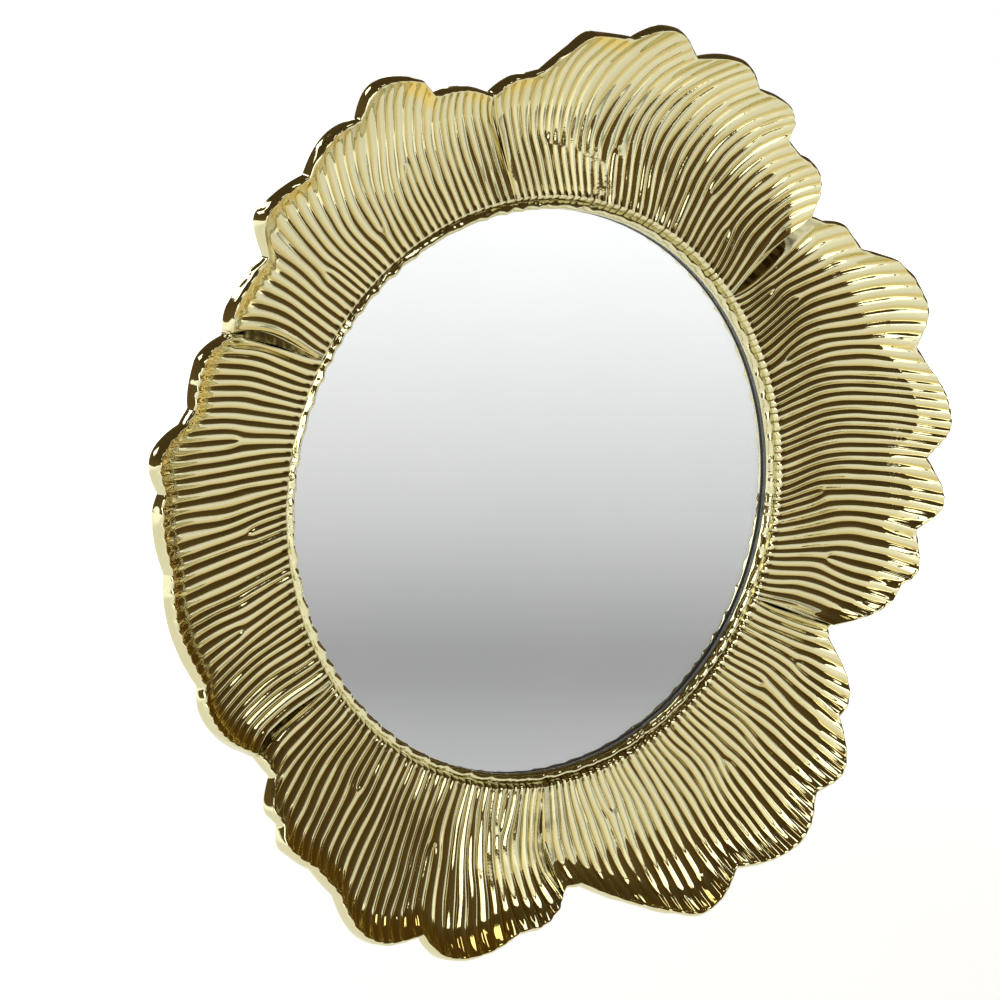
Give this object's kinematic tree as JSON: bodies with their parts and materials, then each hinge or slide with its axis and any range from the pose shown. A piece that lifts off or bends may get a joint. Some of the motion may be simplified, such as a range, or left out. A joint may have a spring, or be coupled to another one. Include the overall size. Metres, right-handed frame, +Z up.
{
  "type": "round wall mirror with a petal frame",
  "caption": "Round wall mirror held from behind in a flower-shaped frame of overlapping ribbed petals, with a folding wire eye at the top of its back that hangs it on a wall hook",
  "frame": {"origin": "centre of the round glass, on the wall plane that the four rubber bumpers touch", "axes": "+Z up the wall, +Y into the wall, -Y out of the front of the mirror, +X to the right seen from the front"},
  "size_m": [0.3315, 0.0335, 0.3224],
  "materials": {
    "plated_gold": "polished",
    "silvered_glass": "polished",
    "board": "matte",
    "foam": "matte",
    "edge_rubber": "matte",
    "zinc_sheet": "satin",
    "zinc_screw": "satin",
    "zinc_wire": "satin",
    "bumper_rubber": "matte"
  },
  "bodies": {
    "mirror": {"petal_frame": "plated_gold", "mirror_glass": "silvered_glass", "backing_board": "board", "foam_pad_1": "foam", "foam_pad_2": "foam", "foam_pad_3": "foam", "foam_pad_4": "foam", "foam_pad_5": "foam", "foam_pad_6": "foam", "glass_edge_pad_1": "edge_rubber", "glass_edge_pad_2": "edge_rubber", "glass_edge_pad_3": "edge_rubber", "glass_edge_pad_4": "edge_rubber", "retaining_clip_1": "zinc_sheet", "retaining_clip_2": "zinc_sheet", "retaining_clip_3": "zinc_sheet", "retaining_clip_4": "zinc_sheet", "retaining_clip_5": "zinc_sheet", "retaining_clip_6": "zinc_sheet", "clip_screw_1": "zinc_screw", "clip_screw_2": "zinc_screw", "clip_screw_3": "zinc_screw", "clip_screw_4": "zinc_screw", "clip_screw_5": "zinc_screw", "clip_screw_6": "zinc_screw", "hanger_plate": "zinc_sheet", "hanger_screw_1": "zinc_screw", "hanger_screw_2": "zinc_screw", "wall_bumper_1": "bumper_rubber", "wall_bumper_2": "bumper_rubber", "wall_bumper_3": "bumper_rubber", "wall_bumper_4": "bumper_rubber"},
    "eye": {"hanger_eye": "zinc_wire"}
  },
  "joints": [
    {"name": "eye_hinge", "type": "hinge", "parent": "mirror", "child": "eye", "pos_m": [0, -0.0027, 0.1185], "axis": [1, 0, 0], "range_deg": [0, 180]}
  ]
}
